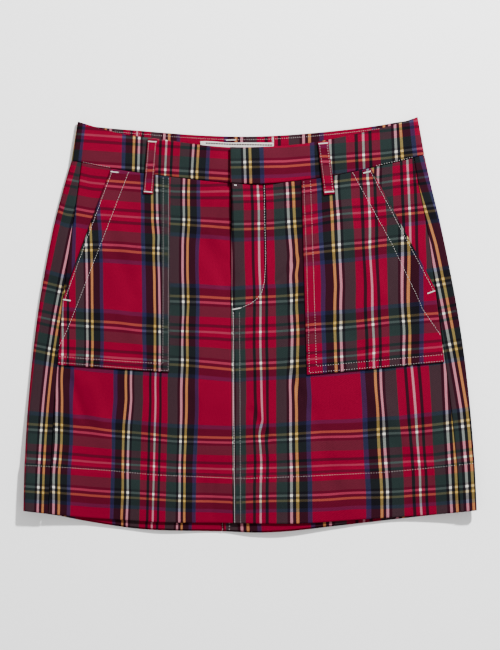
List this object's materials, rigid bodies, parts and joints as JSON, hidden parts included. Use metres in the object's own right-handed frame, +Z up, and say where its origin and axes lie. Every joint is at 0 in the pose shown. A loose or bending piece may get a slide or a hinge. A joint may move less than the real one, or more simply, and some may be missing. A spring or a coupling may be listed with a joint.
{
  "type": "mini skirt",
  "caption": "A-line tartan mini skirt laid flat, front up, with a lapped fly, slanted patch pockets, belt loops and a faced waistband with a blank label inside.",
  "frame": {"origin": "on the table, under the middle of the skirt's bounding box", "axes": "+X across the skirt to the wearer's left, +Y up the skirt to the waist, +Z up off the table, out of the skirt's front"},
  "size_m": [0.4528, 0.4159, 0.0134],
  "materials": {
    "tartan": "matt yarn-dyed cotton twill in a traditional red tartan",
    "label_tape": "blank white woven tape",
    "thread": "off-white topstitching thread"
  },
  "bodies": {
    "root": {"back_right": "tartan", "back_left": "tartan", "front_right": "tartan", "front_left": "tartan", "pocket_right": "tartan", "pocket_left": "tartan", "waistband": "tartan", "loop_front_right": "tartan", "loop_front_left": "tartan", "loop_back": "tartan", "label": "label_tape"}
  },
  "joints": []
}
